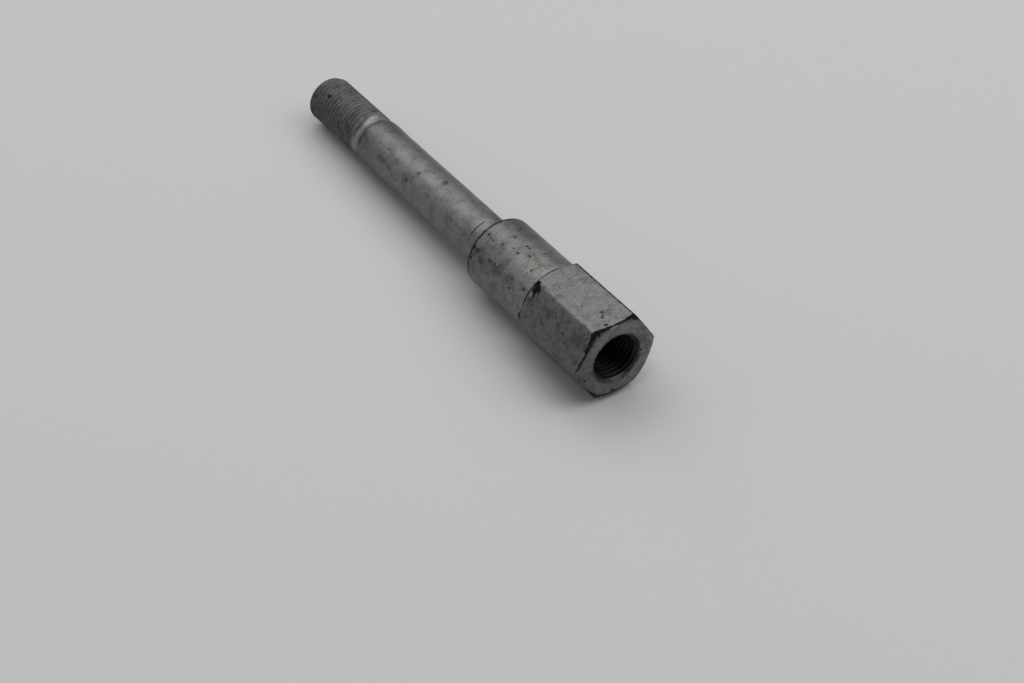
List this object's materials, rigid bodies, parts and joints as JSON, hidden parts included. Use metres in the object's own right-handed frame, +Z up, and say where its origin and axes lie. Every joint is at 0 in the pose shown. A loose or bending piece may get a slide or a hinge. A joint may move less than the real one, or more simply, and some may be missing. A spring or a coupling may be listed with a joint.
{
  "type": "shock mounting bolt",
  "caption": "One-piece steel bolt that carries a shock absorber: fine male thread, plain shank, round collar, and a hexagon drilled and tapped at its end.",
  "frame": {"origin": "centre of the bolt's own box, on the surface that it lies on", "axes": "+X from the threaded tip towards the hexagon, along the length as seen from above; +Z up from the surface; the bolt's axis rises 2.3 degrees towards +X, because the bolt rests on its tip and on the collar's rear edge"},
  "size_m": [0.1224, 0.022, 0.0203],
  "materials": {
    "plated_steel": "dull plated steel, mottled, pitted and worn dark at the edges"
  },
  "bodies": {
    "root": {"mounting_bolt": "plated_steel"}
  },
  "joints": []
}
